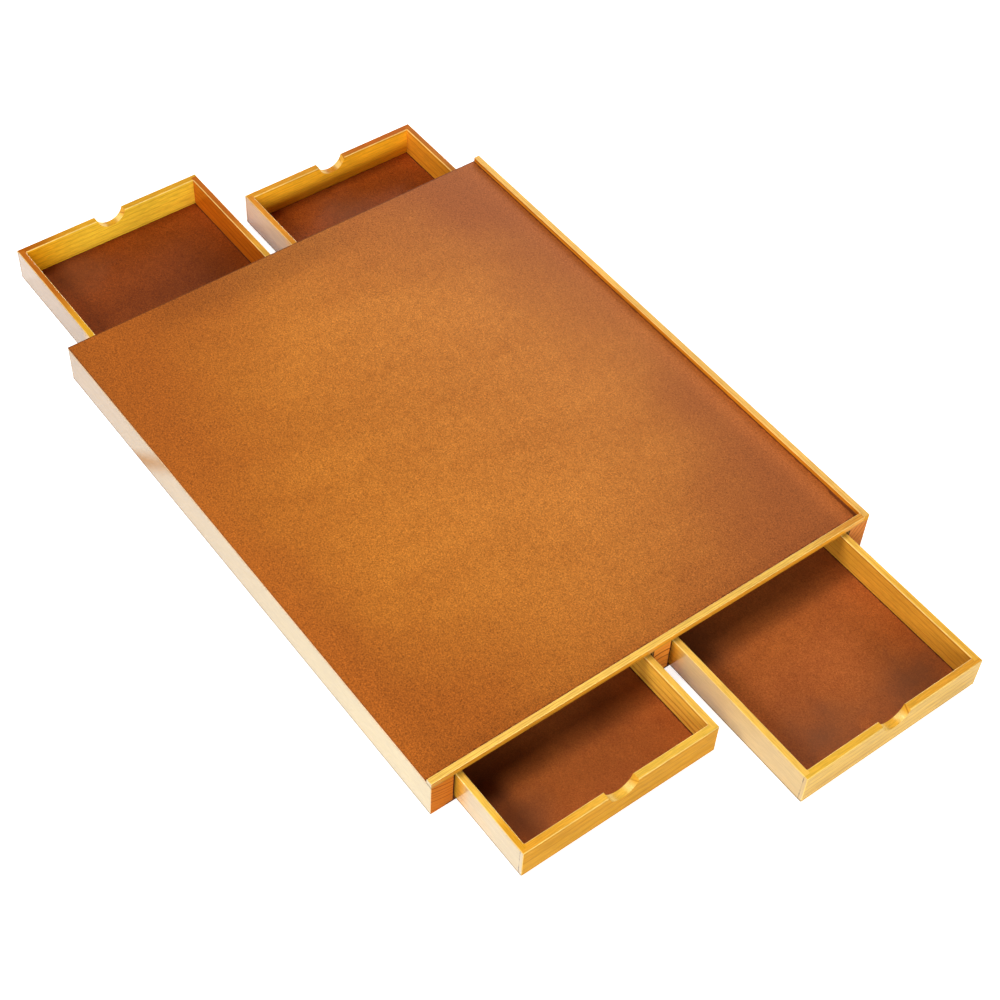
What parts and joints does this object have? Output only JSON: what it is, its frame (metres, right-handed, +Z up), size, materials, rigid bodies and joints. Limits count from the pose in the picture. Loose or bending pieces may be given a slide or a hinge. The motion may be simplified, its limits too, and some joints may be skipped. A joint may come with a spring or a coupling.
{
  "type": "puzzle board with drawers",
  "caption": "Flat wooden puzzle board with a brown hardboard work surface, raised lips on two edges and shallow notched drawers that slide out of both short ends.",
  "frame": {"origin": "centre of the board's flat underside, on the surface that it rests on", "axes": "+Z up from the rest surface; +X along the board and the drawers' slides, towards the near short end with the lip; +Y across the board, towards the long side with the lip"},
  "size_m": [1.078, 0.575, 0.055],
  "materials": {
    "work_surface": "hardboard, stained brown, satin",
    "hardboard": "hardboard, brown, satin",
    "frame_wood": "pine, amber gloss varnish",
    "lip_wood": "pine, amber gloss varnish",
    "drawer_wood": "pine, amber gloss varnish",
    "dowel_wood": "plain beech",
    "screw_steel": "bright zinc"
  },
  "bodies": {
    "board": {"base_panel": "hardboard", "left_rail": "frame_wood", "right_rail": "frame_wood", "centre_divider": "frame_wood", "left_cross_rail": "frame_wood", "right_cross_rail": "frame_wood", "work_panel": "work_surface", "near_lip": "lip_wood", "long_lip": "lip_wood", "frame_dowels": "dowel_wood", "base_screws": "screw_steel"},
    "drawer_1": {"drawer_1_front": "drawer_wood", "drawer_1_back": "drawer_wood", "drawer_1_left_side": "drawer_wood", "drawer_1_right_side": "drawer_wood", "drawer_1_floor": "hardboard", "drawer_1_brads": "screw_steel"},
    "drawer_2": {"drawer_2_front": "drawer_wood", "drawer_2_back": "drawer_wood", "drawer_2_left_side": "drawer_wood", "drawer_2_right_side": "drawer_wood", "drawer_2_floor": "hardboard", "drawer_2_brads": "screw_steel"},
    "drawer_3": {"drawer_3_front": "drawer_wood", "drawer_3_back": "drawer_wood", "drawer_3_left_side": "drawer_wood", "drawer_3_right_side": "drawer_wood", "drawer_3_floor": "hardboard", "drawer_3_brads": "screw_steel"},
    "drawer_4": {"drawer_4_front": "drawer_wood", "drawer_4_back": "drawer_wood", "drawer_4_left_side": "drawer_wood", "drawer_4_right_side": "drawer_wood", "drawer_4_floor": "hardboard", "drawer_4_brads": "screw_steel"}
  },
  "joints": [
    {"name": "drawer_1_slide", "type": "slide", "parent": "board", "child": "drawer_1", "axis": [1, 0, 0], "range_m": [-0.105, 0.145]},
    {"name": "drawer_2_slide", "type": "slide", "parent": "board", "child": "drawer_2", "axis": [1, 0, 0], "range_m": [-0.2, 0.05]},
    {"name": "drawer_3_slide", "type": "slide", "parent": "board", "child": "drawer_3", "axis": [-1, 0, 0], "range_m": [-0.178, 0.072]},
    {"name": "drawer_4_slide", "type": "slide", "parent": "board", "child": "drawer_4", "axis": [-1, 0, 0], "range_m": [-0.11, 0.14]}
  ]
}
